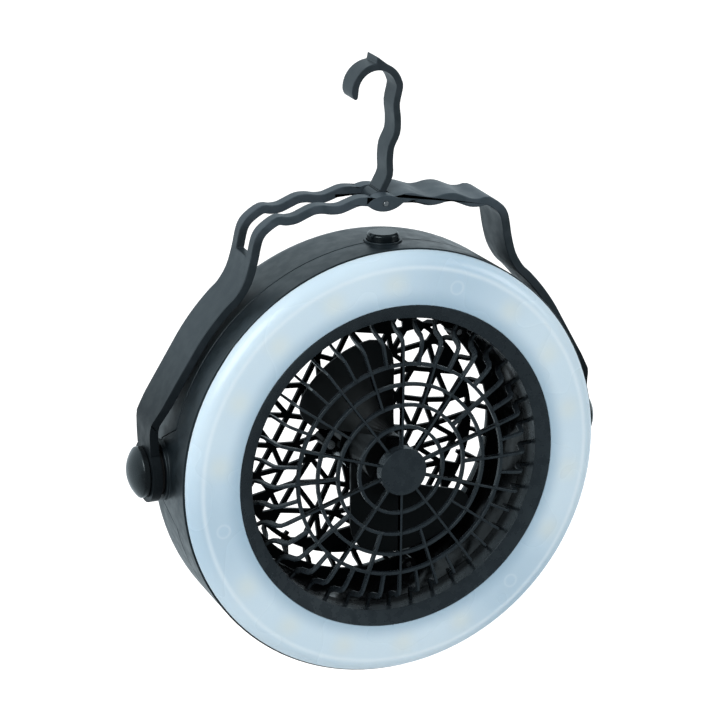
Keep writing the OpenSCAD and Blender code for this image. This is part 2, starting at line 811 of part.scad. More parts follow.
module board_components() {
    base = board_back + seat_gap;
    color("#3b3b3f") head_frame() translate(board_corner) {
        translate([8, 7, at(base + 1.6)]) cube([6, 5, 1.6]);
        translate([3.6, 10.4, 0]) disc(2.4, base, base + 7.9);
        translate([30, 9.5, 0]) disc(2.4, base, base + 5.9);
        translate([9, 1.4, at(base + 1)]) cube([5, 3, 1]);
    }
}

module board_screws() {
    color("silver") head_frame() for (p = board_screws_at) translate(p)
        pan_screw(board_back + seat_gap, 4.6, 1, 1.9, 1.2);
}

// ---------- batteries ----------
contact_t = 0.4;
spring_h = 2.4;
bay_len = cell_len + spring_h + 2 * contact_t + 2 * seat_gap;
box_wall = 1.2;
back_cell_depth = rear_inner_depth - 1 - cell_r;
cell_circle_r = housing_r - cell_inset;
cell_depths = [back_cell_depth - 2 * cell_r - 1, back_cell_depth];
pocket_front = cell_depths[0] - cell_r - 2 * seat_gap;
pocket_half = cell_r + 2 * seat_gap;
box_front = pocket_front - box_wall;
box_back = back_cell_depth + 2;
leg_r = 2.5;

// Battery parts are drawn at the fan's right: x outward, y along the cell
module box_place(side) {
    rotate([0, 0, side == right ? -box_angle : 180 + box_angle]) children();
}

// The room inside the shells, a gap away from their walls
module inner_room(gap) {
    corner = rear_round - shell_wall - gap;
    rotate_extrude() union() {
        translate([0, at(housing_depth - rear_round)])
            square([shell_in_r - gap, housing_depth - rear_round - rim_depth]);
        translate([0, at(rear_inner_depth - gap)]) square([housing_r - rear_round, corner + 1]);
        intersection() {
            translate([housing_r - rear_round, at(housing_depth - rear_round)]) circle(r = corner);
            translate([0, at(housing_depth)]) square([housing_r, housing_depth]);
        }
    }
}

module battery_box(side) {
    head_frame() box_place(side) {
        difference() {
            intersection() {
                translate([cell_circle_r - pocket_half - box_wall, -bay_len / 2 - box_wall, at(box_back)])
                    cube([2 * (pocket_half + box_wall), bay_len + 2 * box_wall, box_back - box_front]);
                inner_room(fit_gap);
            }
            translate([cell_circle_r - pocket_half, -bay_len / 2, at(box_back + 1)])
                cube([2 * pocket_half, bay_len, box_back + 1 - pocket_front]);
        }
        for (y = [-1, 1]) translate([cell_circle_r, y * (bay_len / 2 - leg_r), 0])
            disc(leg_r, floor_back + seat_gap, box_front + box_wall / 2);
    }
}

module battery_box_left() { color("#4a5054") battery_box(left); }
module battery_box_right() { color("#4a5054") battery_box(right); }

// One cell lying along y, its nub at the positive end
module battery_cell() {
    rotate([-90, 0, 0]) translate([0, 0, -cell_len / 2]) {
        cylinder(r = cell_r, h = cell_len - 1.2, $fn = 64);
        cylinder(r = 2.6, h = cell_len, $fn = 32);
    }
}

// Runs over the cells of both boxes; each lies against its plus contact
module cell_places() {
    for (side = [left, right], k = [0, 1]) box_place(side)
        translate([cell_circle_r, 0, at(cell_depths[k])]) rotate([0, 0, k * 180]) children();
}

module battery_cells() {
    color("#c9a24a") head_frame() cell_places()
        translate([0, spring_h / 2, 0]) battery_cell();
}

module battery_contacts() {
    color("#c8ccd0") head_frame() cell_places()
        for (end = [-1, 1])
            translate([-5, end * (bay_len / 2 - contact_t / 2 - seat_gap / 4) - contact_t / 2 , -6])
                cube([10, contact_t - 0.02, 12]);
}

coil_turns = 2.25;
coil_steps = 12;
coil_sides = 6;
coil_wire = 0.35;
coil_count = coil_turns * coil_steps;
function coil_angle(i) = 360 * i / coil_steps;
function coil_r(i) = 5 - 2.6 * i / coil_count;
function coil_y(i) = coil_wire + (spring_h - 2 * coil_wire) * i / coil_count;
function coil_ring(i) = [for (k = [0 : coil_sides - 1])
    let (w = polar(coil_wire, 360 * k / coil_sides), r = coil_r(i) + w.x)
    [r * cos(coil_angle(i)), coil_y(i) + w.y, r * sin(coil_angle(i))]];

module coil() {
    n = coil_count;
    s = coil_sides;
    polyhedron(
        points = [for (i = [0 : n]) each coil_ring(i)],
        faces = concat(
            [[for (k = [0 : s - 1]) k]],
            [for (i = [0 : n - 1], k = [0 : s - 1])
                [i * s + k, (i + 1) * s + k, (i + 1) * s + (k + 1) % s, i * s + (k + 1) % s]],
            [[for (k = [s - 1 : -1 : 0]) n * s + k]]),
        convexity = 4);
}

module battery_springs() {
    color("#d0d3d6") head_frame() cell_places()
        translate([0, -bay_len / 2 + contact_t + seat_gap / 2, 0]) coil();
}

door_len = bay_len - 1;
door_in_r = cell_circle_r - cell_r - 0.6;

// Hole in the rear shell for a battery door, grown by a gap
module door_opening(side, grow) {
    box_place(side) translate([door_in_r - grow, -door_len / 2 - grow, at(housing_depth + 1)])
        cube([30, door_len + 2 * grow, housing_depth + 1 - box_back - 0.8 + grow]);
}

module battery_door(side) {
    head_frame() intersection() {
        shell_skin();
        door_opening(side, -fit_gap);
    }
}

module battery_door_left() { color("#7a838c") battery_door(left); }
module battery_door_right() { color("#7a838c") battery_door(right); }

// ---------- pivots ----------
module pivot_knob(side) {
    dome_r = (pow(knob_r, 2) + pow(knob_dome, 2)) / (2 * knob_dome);
    color("#5b6268") head_frame() pivot_place(side) {
        translate([0, 0, knob_base_x]) cylinder(r = knob_r, h = knob_rim);
        intersection() {
            translate([0, 0, knob_base_x + knob_rim]) cylinder(r = knob_r, h = knob_dome + 1);
            translate([0, 0, knob_base_x + knob_rim + knob_dome - dome_r]) sphere(r = dome_r);
        }
        translate([0, 0, boss_in_x + 2 + seat_gap]) {
            cylinder(r = stem_r, h = knob_base_x - boss_in_x - 2);
            cylinder(r = flange_r, h = flange_t);
        }
    }
}

module pivot_knob_left() { pivot_knob(left); }
module pivot_knob_right() { pivot_knob(right); }

module pivot_washers() {
    color("#2a2d2f") head_frame() for (side = [left, right]) pivot_place(side)
        translate([0, 0, boss_out_x + seat_gap]) difference() {
            cylinder(r = boss_r - 2.4, h = washer_t);
            translate([0, 0, -1]) cylinder(r = stem_r + fit_gap, h = washer_t + 2);
        }
}

// ---------- handle ----------
function grip_top(x) = grip_h - grip_droop * pow(x / (shoulder_x - 5), 2)
    + grip_wave * cos(360 * (abs(x) - wave_pitch * 0.55) / wave_pitch);

shoulder_gap = 1.4;
function side_r(a) = housing_r + side_gap + strap_t / 2 + shoulder_gap * (a - 31) / 20;
strap_mid_x = eye_in_x + eye_t / 2;
function side_point(a) = polar(side_r(a), a) - [0, pivot_rise];

// Centre line of the strap's right half, from the middle down to the eye
handle_line = smooth(concat(
    [for (x = [0 : 4 : shoulder_x - 9]) [x, grip_top(x) - strap_t / 2]],
    [[shoulder_x - 3.9, shoulder_h + 7], [shoulder_x - 1.3, shoulder_h + 4],
     [shoulder_x, shoulder_h], [shoulder_x + 1.4, shoulder_h - 7],
     [shoulder_x + 3.9, shoulder_h - 15.2]],
    [for (a = [50, 47, 43, 39, 35, 31]) side_point(a)],
    [[strap_mid_x - 2.2, 28], [strap_mid_x + 0.1, 23.4], [strap_mid_x + 0.4, 18],
     [strap_mid_x, eye_r - 3]]), 3);

slot_end_h = shoulder_h - 5.4;
end_half = 9;
pad_h = 15.5;
pad_t = 1.2;
lug_half = 8.4;
lug_h = 7;
slot_right = 4.8;

module lug_outline() {
    r = (pow(lug_half, 2) + pow(lug_h / 2, 2)) / lug_h;
    intersection() {
        translate([0, r - lug_h / 2]) circle(r = r, $fn = 160);
        translate([0, lug_h / 2 - r]) circle(r = r, $fn = 160);
    }
}

// The handle seen from the side, lying down: its ends narrow towards the eyes
module handle_side() {
    half = handle_w / 2;
    polygon([[0, -end_half], [20, -end_half], [33, -half], [grip_h + 20, -half],
             [grip_h + 20, half], [33, half], [20, end_half], [0, end_half]]);
}

module handle_end() {
    rotate([0, 90, 0]) translate([0, 0, eye_in_x]) cylinder(r = eye_r, h = eye_t);
    intersection() {
        translate([0, 0, -handle_w]) linear_extrude(2 * handle_w) polygon([
            [eye_out_x - 2, pad_h + 11.5], [eye_out_x + pad_t - 0.5, pad_h + 9.5],
            [eye_out_x + pad_t, pad_h + 5.5],
            [eye_out_x + pad_t, pad_h - 1], [eye_out_x - 2, pad_h - 1]]);
        rotate([0, 90, 0]) translate([-pad_h - end_half + 0.6, 0, eye_in_x])
            cylinder(r = end_half - 0.6, h = 10);
    }
}

module handle() {
    color("#6f777b") handle_frame() difference() {
        union() {
            intersection() {
                for (side = [0, 1]) mirror([side, 0, 0])
                    translate([0, 0, -handle_w / 2]) linear_extrude(handle_w)
                        polygon(strip(handle_line, strap_t));
                rotate([90, 0, 90]) translate([0, 0, -eye_out_x - 10])
                    linear_extrude(2 * eye_out_x + 20) handle_side();
            }
            for (side = [0, 1]) mirror([side, 0, 0]) handle_end();
            translate([0, pin_h, -handle_w / 2 - 0.4]) linear_extrude(handle_w + 0.8) lug_outline();
        }
        translate([-shoulder_x - 14, slot_end_h, -hook_w / 2 - 0.5])
            cube([shoulder_x + 14 + slot_right, 60, hook_w + 1]);
        translate([0, pin_h, -handle_w]) cylinder(r = pin_r + 0.02, h = 2 * handle_w, $fn = 48);
        for (side = [0, 1]) mirror([side, 0, 0]) {
            translate([eye_in_x - 1, 0, 0]) rotate([0, 90, 0])
                cylinder(r = stem_r + turn_gap, h = eye_t + 2);
            translate([eye_out_x, 0, 0]) rotate([0, 90, 0]) cylinder(r = knob_r + 1.6, h = 10);
        }
    }
}

module hook_pin() {
    color("#c9cdd1") handle_frame() translate([0, pin_h, -handle_w / 2 - 0.9])
        cylinder(r = pin_r, h = handle_w + 1.8, $fn = 48);
}

// ---------- hook ----------
// The hook is drawn folded, where its stem lies flush with the grip
curl_middle = turn([-hook_lean, hook_reach], fold_angle);
hook_line = smooth(concat(
    [for (x = [1, 5, 11, 17, 23, 29, 35, 41]) [-x, grip_top(x) - pin_h - hook_t / 2 - 0.2]],
    [for (a = [108 : 15 : 303]) curl_middle + polar(curl_r, a)]), 3);
barrel_r = 3.6;
tab_base_r = curl_r + hook_t / 2 - 0.3;

module hook() {
    color("#767e83") hook_frame() rotate([0, 0, -fold_angle])
        translate([0, 0, -hook_w / 2]) difference() {
            union() {
                linear_extrude(hook_w) polygon(strip(hook_line, hook_t, 4));
                cylinder(r = barrel_r, h = hook_w);
                linear_extrude(hook_w) polygon([
                    curl_middle + polar(tab_base_r, fold_angle + 95),
                    curl_middle + polar(tab_base_r + 3.1, fold_angle + 92),
                    curl_middle + polar(tab_base_r, fold_angle + 47)]);
            }
            translate([0, 0, -1]) cylinder(r = pin_r + turn_gap, h = hook_w + 2, $fn = 48);
        }
}

// ---------- screws that close the housing ----------
module housing_screws() {
    color("silver") head_frame() around(housing_screw_angles, housing_screw_r)
        pan_screw(seam_depth + 7.7, 11);
}

front_shell();
rear_shell();
diffuser_ring();
front_grille();
air_duct();
led_board();
leds();
rear_grille();
motor();
motor_clamp();
motor_screws();
motor_shaft();
fan_rotor();
power_button();
button_collar();
switch_plunger();
switch_body();
control_board();
board_components();
board_screws();
battery_box_left();
battery_box_right();
battery_cells();
battery_contacts();
battery_springs();
battery_door_left();
battery_door_right();
pivot_knob_left();
pivot_knob_right();
pivot_washers();
handle();
hook();
hook_pin();
housing_screws();
diffuser_screws();
front_grille_screws();
rear_grille_screws();
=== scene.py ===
import json
import math

import bmesh
import bpy
import numpy as np
from mathutils import Matrix, Vector

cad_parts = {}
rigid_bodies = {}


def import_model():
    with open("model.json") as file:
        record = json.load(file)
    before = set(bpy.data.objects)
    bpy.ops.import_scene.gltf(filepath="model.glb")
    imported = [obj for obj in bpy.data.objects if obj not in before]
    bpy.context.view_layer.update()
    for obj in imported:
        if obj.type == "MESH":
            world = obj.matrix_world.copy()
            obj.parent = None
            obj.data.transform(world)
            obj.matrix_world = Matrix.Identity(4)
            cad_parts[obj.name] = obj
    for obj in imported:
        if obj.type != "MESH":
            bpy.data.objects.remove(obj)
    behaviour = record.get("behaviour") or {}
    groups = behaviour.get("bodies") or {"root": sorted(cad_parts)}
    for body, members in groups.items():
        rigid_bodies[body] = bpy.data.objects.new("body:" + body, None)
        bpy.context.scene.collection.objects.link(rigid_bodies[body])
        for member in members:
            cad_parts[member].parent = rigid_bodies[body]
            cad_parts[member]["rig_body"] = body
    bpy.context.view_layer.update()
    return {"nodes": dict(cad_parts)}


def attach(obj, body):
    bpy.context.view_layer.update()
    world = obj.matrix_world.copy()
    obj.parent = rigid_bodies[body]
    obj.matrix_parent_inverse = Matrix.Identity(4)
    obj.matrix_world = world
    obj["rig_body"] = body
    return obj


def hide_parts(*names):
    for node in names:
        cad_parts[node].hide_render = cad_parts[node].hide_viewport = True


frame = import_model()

scene = bpy.context.scene

# ---------- camera ----------
# A short tele lens a metre away looks down on the fan from its left.
# The fan's front leans back a little, so the view is set in its own plane.
AXLE_DROP = 0.16671                               # from the hook's seat down to the tilt axle
HEAD_TIP = math.radians(2.4)                      # the housing's lean
RIM_DEPTH, RIM_RISE = -0.0305, -0.0008            # the bezel's rim from the axle, in the housing's plane
SIDE_TURN, LOOK_DOWN, CAMERA_ROLL = -0.40361947, 0.31645005, 0.00931651    # radians
PICTURE = 720                                     # pixels on each side of the picture
PIXEL = 1 / 2338.04                               # a pixel's width at the rim's centre, in metres
RIM_PIXEL_X, RIM_PIXEL_Y = 395.571, 465.193       # where the rim's centre shows in the picture

rim_centre = (Matrix.Translation((0, 0, -AXLE_DROP)) @ Matrix.Rotation(-HEAD_TIP, 4, "X")
              @ Matrix.Translation((0, RIM_DEPTH, RIM_RISE)))
away = Vector((math.sin(SIDE_TURN) * math.cos(LOOK_DOWN),
               -math.cos(SIDE_TURN) * math.cos(LOOK_DOWN), math.sin(LOOK_DOWN)))
across = Vector((0, 0, 1)).cross(away).normalized()
upward = away.cross(across)
right = across * math.cos(CAMERA_ROLL) + upward * math.sin(CAMERA_ROLL)
top = upward * math.cos(CAMERA_ROLL) - across * math.sin(CAMERA_ROLL)
view = Matrix((right, top, away)).transposed().to_4x4()
view.translation = (away - right * (RIM_PIXEL_X - PICTURE / 2) * PIXEL
                    + top * (RIM_PIXEL_Y - PICTURE / 2) * PIXEL)
lens = bpy.data.cameras.new("tele_lens")
lens.sensor_width = 36
lens.lens = lens.sensor_width / (PICTURE * PIXEL)
lens.clip_end = 20
camera = bpy.data.objects.new("camera", lens)
camera.matrix_world = rim_centre @ view
scene.collection.objects.link(camera)
scene.camera = camera


# ---------- housing ----------
# Two round shells of black ABS with a faint blue tinge, closed by five screws from behind.
# Moulded in a spark eroded tool, which leaves a fine even grain and a soft sheen.
def linear(hex_colour):
    """An sRGB hex colour as the linear colour with alpha that a shader takes."""
    parts = [int(hex_colour[k:k + 2], 16) / 255 for k in (1, 3, 5)]
    return (*[c / 12.92 if c <= 0.04045 else ((c + 0.055) / 1.055) ** 2.4 for c in parts], 1)


def fill(tree, node, sockets):
    """Fills a node's inputs by name, or in order among those in use.
    A node or one of its outputs is linked, where a node stands for its first output in use.
    Any other value is set."""
    if not isinstance(sockets, dict):
        in_use = [socket.identifier for socket in node.inputs if socket.enabled]
        sockets = dict(zip(in_use, sockets))
    for name, value in sockets.items():
        place = next(socket for socket in node.inputs if name in (socket.identifier, socket.name))
        if isinstance(value, bpy.types.Node):
            value = next(output for output in value.outputs if output.enabled)
        if isinstance(value, bpy.types.NodeSocket):
            tree.links.new(value, place)
        else:
            place.default_value = value


def add(tree, kind, sockets=(), **settings):
    """One new shader node with its settings and its filled inputs."""
    node = tree.nodes.new("ShaderNode" + kind)
    for name, value in settings.items():
        setattr(node, name, value)
    fill(tree, node, sockets)
    return node


SMOOTH = {"interpolation_type": "SMOOTHSTEP"}
MOST, ALL = (0.3, 0.7), (0.15, 0.85)      # where most, or all, of a cloudy pattern's values lie
FLOW_MM, DUST_MM = 34, 5                  # the pigment's flow marks, and the patches of dust and wear


def finish(name, ior=1.5, metallic=0.0, coat=0.0, coat_roughness=0.1, tint=(1, 1, 1, 1)):
    """A new material: its node tree, its main shader and the point on the piece in metres."""
    made = bpy.data.materials.new(name)
    made.use_nodes = True
    tree = made.node_tree
    shader = tree.nodes["Principled BSDF"]
    fill(tree, shader, {"IOR": ior, "Metallic": metallic, "Coat Weight": coat,
                        "Coat Roughness": coat_roughness, "Specular Tint": tint})
    return made, tree, shader, add(tree, "TexCoord").outputs["Object"]


def grain(tree, point, lump_mm, detail=1, stretch=(1, 1, 1)):
    """A cloudy pattern whose lumps are lump_mm across, drawn out where stretch is below 1."""
    drawn = add(tree, "Mapping", {"Vector": point, "Scale": stretch})
    return add(tree, "TexNoise", {"Vector": drawn, "Scale": 1000 / lump_mm,
                                  "Detail": detail, "Roughness": 0.55})


def moulded(name, dark, light, rough, grain_mm, depth_mm, ior=1.5, **more):
    """Moulded plastic: cloudy flow of the pigment, clean and dull patches, and the tool's grain."""
    made, tree, shader, point = finish(name, ior, **more)
    flow = grain(tree, point, FLOW_MM, 3)
    dust = grain(tree, point, DUST_MM, 4)
    cloudy = add(tree, "Math", (flow, dust), operation="MULTIPLY")
    share = add(tree, "MapRange", (cloudy, 0.14, 0.36, 0, 1), **SMOOTH)
    fill(tree, shader, {
        "Base Color": add(tree, "Mix", (share, linear(dark), linear(light)), data_type="RGBA"),
        "Roughness": add(tree, "MapRange", (dust, *MOST, rough - 0.05, rough + 0.07), **SMOOTH),
        "Normal": add(tree, "Bump", {"Height": grain(tree, point, grain_mm), "Strength": 1.0,
                                     "Distance": depth_mm / 1000})})
    return made


def paint_shade_and_light(material, direction, *ramps):
    """Paints shade and light into a moulding's colour along a direction, and dims its sheen where the
    painted shade makes it darker.
    Each ramp has two distances in metres and the factors that hold there."""
    tree = material.node_tree
    shader = tree.nodes["Principled BSDF"]
    colour, sheen = shader.inputs["Base Color"], shader.inputs["Specular IOR Level"]
    point = add(tree, "TexCoord").outputs["Object"]
    along = add(tree, "VectorMath", (point, direction), operation="DOT_PRODUCT")
    factor = 1
    for ramp in ramps:
        step = add(tree, "MapRange", (along, *ramp), **SMOOTH)
        factor = add(tree, "Math", (factor, step), operation="MULTIPLY")
    darker = add(tree, "Math", (factor, 1), operation="MINIMUM")
    fill(tree, shader, {
        "Base Color": add(tree, "VectorMath", (colour.links[0].from_socket, factor), operation="SCALE"),
        "Specular IOR Level": add(tree, "Math", (darker, sheen.default_value), operation="MULTIPLY")})


def paint(material, *names):
    """Gives CAD nodes their material."""
    for name in names:
        mesh = frame["nodes"][name].data
        mesh.materials.clear()
        mesh.materials.append(material)


JOIN_WITHIN = 2e-6                     # corners in one cell of this size, in metres, are one
FLAT_WITHIN = math.radians(0.4)        # faces that lie closer than this become one
SHARP_FROM = math.radians(30)          # edges sharper than this are rounded


def rounded(node, material, radius_mm, share=None):
    """A CAD piece with the rounded edges of a moulding.
    Its corners are joined, its flat faces become one each, and its sharp edges are bevelled
    by the radius, times share(the edge's middle) if that is given."""
    loose = frame["nodes"][node].data
    points = np.empty(len(loose.vertices) * 3)
    loose.vertices.foreach_get("co", points)
    points = points.reshape(-1, 3)
    corners = np.empty(len(loose.loops), dtype=int)
    loose.loops.foreach_get("vertex_index", corners)
    first, place = np.unique(np.round(points / JOIN_WITHIN).astype(int), axis=0,
                             return_index=True, return_inverse=True)[1:]
    triangles = place.ravel()[corners].reshape(-1, 3)
    triangles = triangles[(triangles != np.roll(triangles, 1, axis=1)).all(axis=1)]
    mesh = bpy.data.meshes.new(node + "_rounded")
    mesh.from_pydata(points[first].tolist(), [], triangles.tolist())
    work = bmesh.new()
    work.from_mesh(mesh)
    bmesh.ops.dissolve_limit(work, angle_limit=FLAT_WITHIN, verts=work.verts, edges=work.edges)
    weight = work.edges.layers.float.new("bevel_weight_edge")
    for edge in work.edges:
        if edge.is_manifold and edge.calc_face_angle() > SHARP_FROM:
            edge[weight] = share((edge.verts[0].co + edge.verts[1].co) / 2) if share else 1
    work.to_mesh(mesh)
    work.free()
    mesh.shade_smooth()
    mesh.materials.append(material)
    piece = bpy.data.objects.new(node + "_rounded", mesh)
    scene.collection.objects.link(piece)
    bevel = piece.modifiers.new("edge_radius", "BEVEL")
    bevel.width = radius_mm / 1000
    bevel.segments = 2
    bevel.limit_method = "WEIGHT"
    bevel.use_clamp_overlap = False
    bevel.harden_normals = True
    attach(piece, frame["nodes"][node]["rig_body"])
    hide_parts(node)


# the blue black pigment gives the sheen its cool tinge
COOL = (0.80, 0.95, 1.0, 1)
# a tool's grain is 0.1 mm wide or less, and is drawn three times as wide or more, so that it shows
housing_abs = moulded("ABS_housing_spark_eroded", "#11181c", "#172026",
                      rough=0.38, grain_mm=0.45, depth_mm=0.02, tint=COOL)
for shell in ("front_shell", "rear_shell"):
    rounded(shell, housing_abs, 0.35)
for door in ("left", "right"):
    rounded("battery_door_" + door, housing_abs, 0.3)

# ---------- light ring ----------
# A ring of milky polystyrene that covers the lamps, held by three screw posts from behind.
# The posts show through as faint circles inside broad darker bluish patches, partly the posts behind the
# milky plastic and partly painted shade. The lamps' yellow phosphor shows as faint warm spots, a painted
# highlight as a pale line along the shoulder, and the ring darkens towards its inner edge.
POST_ANGLE, POST_STEP = 72, 120        # degrees: the first post's place and the way to the next
POST_CIRCLE, POST_R = 81.5, 2.8        # mm
LAMP_CIRCLE, LAMP_STEP = 82, 20        # mm and degrees
INNER_EDGE, HIGHLIGHT_CIRCLE = 71.5, 88.5     # mm from the fan's axis
RIM_EDGE = 0.0945                      # m from the fan's axis: only the outer rim lies further out


def ring_pattern(tree, point):
    """The angle from the nearest screw post in degrees, and the distance from the fan's axis in mm."""
    half_step = math.radians(POST_STEP / 2)
    local = add(tree, "Mapping", {
        "Vector": point, "Rotation": (HEAD_TIP - math.pi / 2, 0, 0),
        "Location": (0, math.cos(HEAD_TIP) * AXLE_DROP - RIM_RISE, math.sin(HEAD_TIP) * AXLE_DROP)})
    place = add(tree, "SeparateXYZ", (local,)).outputs
    flat = add(tree, "CombineXYZ", (place["X"], place["Y"]))
    radius = add(tree, "VectorMath", (flat,), operation="LENGTH")
    angle = add(tree, "Math", (place["Y"], place["X"]), operation="ARCTAN2")
    turned = add(tree, "Math", (angle, math.radians(-POST_ANGLE)), operation="ADD")
    from_post = add(tree, "Math", (turned, half_step, -half_step), operation="WRAP")
    return (add(tree, "Math", (from_post, math.degrees(1)), operation="MULTIPLY"),
            add(tree, "Math", (radius, 1000), operation="MULTIPLY"))


def hill(tree, value, centre, half_width):
    """1 where the value is at the centre, falling smoothly to 0 at half_width from it."""
    off = add(tree, "Math", (value, centre), operation="SUBTRACT")
    distance = add(tree, "Math", (off,), operation="ABSOLUTE")
    return add(tree, "MapRange", (distance, half_width, 0, 0, 1), **SMOOTH)


opal, tree, shader, point = finish("opal_polystyrene_diffuser", ior=1.55)
from_post, radius = ring_pattern(tree, point)
from_lamp = add(tree, "Math", (from_post, LAMP_STEP / 2, -LAMP_STEP / 2), operation="WRAP")
lamp = add(tree, "Math", (hill(tree, from_lamp, 0, 6), hill(tree, radius, LAMP_CIRCLE, 8)),
           operation="MULTIPLY")
clear_of_post = add(tree, "Math", (1, hill(tree, from_post, 0, 12)), operation="SUBTRACT")
beside_post = add(tree, "Math", (from_post, math.radians(POST_CIRCLE)), operation="MULTIPLY")
beyond_post = add(tree, "Math", (radius, POST_CIRCLE), operation="SUBTRACT")
post_offset = add(tree, "CombineXYZ", (beside_post, beyond_post))
post_distance = add(tree, "VectorMath", (post_offset,), operation="LENGTH")
# each layer: where it shows, how strongly, and its colour
milk = linear("#ccdfeb")
for pattern, strength, colour in (
        (add(tree, "MapRange", (grain(tree, point, 90), *ALL, 0, 1), **SMOOTH), 1, "#c0d6e4"),
        (grain(tree, point, 0.7), 0.10, "#9fb9ca"),
        # painted shade, over the posts behind: darker bluish within 32 degrees of each post
        (hill(tree, from_post, 0, 32), 0.9, "#acc5d6"),
        (hill(tree, radius, INNER_EDGE, 9), 0.8, "#93afc2"),
        # painted highlight: a pale line along the shoulder
        (hill(tree, radius, HIGHLIGHT_CIRCLE, 1.6), 0.4, "#e2eef6"),
        (add(tree, "Math", (lamp, clear_of_post), operation="MULTIPLY"), 0.26, "#dcdcc6"),
        (hill(tree, post_distance, POST_R, 0.9), 0.35, "#cfdde6")):
    share = add(tree, "Math", (pattern, strength), operation="MULTIPLY")
    milk = add(tree, "Mix", (share, milk, linear(colour)), data_type="RGBA")
fill(tree, shader, {
    "Base Color": milk,
    "Roughness": add(tree, "MapRange", (grain(tree, point, 30), *ALL, 0.23, 0.31), **SMOOTH),
    "Subsurface Weight": 0.35, "Subsurface Radius": (0.9, 1.0, 1.1), "Subsurface Scale": 0.0025,
    "Normal": add(tree, "Bump", {"Height": grain(tree, point, 1.2), "Strength": 0.5,
                                 "Distance": 0.000006})})


def wide_at_rim(place):
    """A wide radius on the outer rim, which catches the light, and a small one elsewhere."""
    up = (place.z + AXLE_DROP) * math.cos(HEAD_TIP) + place.y * math.sin(HEAD_TIP)
    return 1 if math.hypot(place.x, up) > RIM_EDGE else 0.35


rounded("diffuser_ring", opal, 0.8, wide_at_rim)

# ---------- grilles and air duct ----------
# The front cage, the bent lattice behind the blades and the duct between them are black ABS.
# They come from a polished tool, so they shine a little more than the housing.
# The rim keeps its colour, and painted shade darkens the bends and walls behind it and the whole lattice,
# dimming their sheen too.
DEPTH_WAY = (0, math.cos(HEAD_TIP), -math.sin(HEAD_TIP))
RIM_AT = math.sin(HEAD_TIP) * AXLE_DROP + RIM_DEPTH        # the rim's distance along that way
grille_abs = moulded("ABS_grille_semi_gloss", "#1b2126", "#21282d",
                     rough=0.27, grain_mm=0.6, depth_mm=0.006, tint=COOL)
# painted shade: colour and sheen fall to 0.12 of their value from 1.5 to 6 mm behind the rim
paint_shade_and_light(grille_abs, DEPTH_WAY, (RIM_AT + 0.0015, RIM_AT + 0.006, 1, 0.12))
duct_abs = moulded("ABS_duct_glossy", "#060708", "#0a0b0c",
                   rough=0.14, grain_mm=1.5, depth_mm=0.004, ior=1.24, tint=COOL)
rounded("front_grille", grille_abs, 0.2)
rounded("rear_grille", grille_abs, 0.25)
rounded("air_duct", duct_abs, 0.2)
rounded("motor_clamp", duct_abs, 0.2)

# ---------- fan ----------
# Two broad blades of black polypropylene on a hub pressed on the motor's shaft.
# Polypropylene has a waxy look: a darker body with a wide soft shine.
blade_pp = moulded("polypropylene_blades_waxy", "#070808", "#0b0c0d",
                   rough=0.36, grain_mm=1.2, depth_mm=0.01, ior=1.32, tint=COOL)
rounded("fan_rotor", blade_pp, 0.3)


# ---------- motor ----------
# A drawn steel can, zinc plated, on a bright ground shaft, held by zinc plated screws.
# Drawing leaves fine lines along the can, and the plating a grey, slightly cloudy shine.
def metal(name, dark, light, rough, line_mm, stretch):
    """Plated or drawn metal: fine lines drawn out along one way in its colour, sheen and relief."""
    made, tree, shader, point = finish(name, metallic=1.0)
    lines = grain(tree, point, line_mm, 3, stretch)
    share = add(tree, "MapRange", (lines, *MOST, 0, 1), **SMOOTH)
    fill(tree, shader, {
        "Base Color": add(tree, "Mix", (share, linear(dark), linear(light)), data_type="RGBA"),
        "Roughness": add(tree, "MapRange", (lines, *MOST, rough - 0.06, rough + 0.08), **SMOOTH),
        "Normal": add(tree, "Bump", {"Height": lines, "Strength": 0.6, "Distance": 0.000004})})
    return made


zinc_can = metal("zinc_plated_steel_can", "#8d9094", "#b4b7ba",
                 rough=0.32, line_mm=0.5, stretch=(1, 0.05, 1))
ground_steel = metal("ground_steel_pin", "#b9bcbf", "#d6d8da",
                     rough=0.2, line_mm=0.2, stretch=(1, 0.06, 1))
screw_zinc = metal("zinc_plated_steel_screw", "#9a9c9e", "#c4c6c8",
                   rough=0.28, line_mm=0.3, stretch=(1, 1, 1))
rounded("motor", zinc_can, 0.3)
paint(ground_steel, "motor_shaft")
rounded("hook_pin", ground_steel, 0.15)
paint(screw_zinc, "motor_screws", "board_screws", "diffuser_screws", "front_grille_screws")
for screws in ("housing_screws", "rear_grille_screws"):
    rounded(screws, screw_zinc, 0.08)

# ---------- lamps and boards ----------
# White coated boards carry domed lamps whose phosphor is yellow when they are off.
# The control board has a green solder mask over glass cloth.
THREAD_MM = 0.5
WAVE_WIDTH = 6.28        # brings one wave of the pattern to a thread and the gap beside it


def laminate(name, mask, weave_dark):
    """Glass cloth laminate under a solder mask: a faint square weave shows through the glossy coat."""
    made, tree, shader, point = finish(name, coat=0.4, coat_roughness=0.15)
    waves = {"Vector": point, "Scale": 1000 / THREAD_MM / WAVE_WIDTH}
    warp, weft = [add(tree, "TexWave", waves, bands_direction=way).outputs["Fac"] for way in ("X", "Z")]
    weave = add(tree, "Math", (warp, weft), operation="MULTIPLY")
    fill(tree, shader, {
        "Base Color": add(tree, "Mix", (weave, linear(mask), linear(weave_dark)), data_type="RGBA"),
        "Roughness": 0.35})
    return made


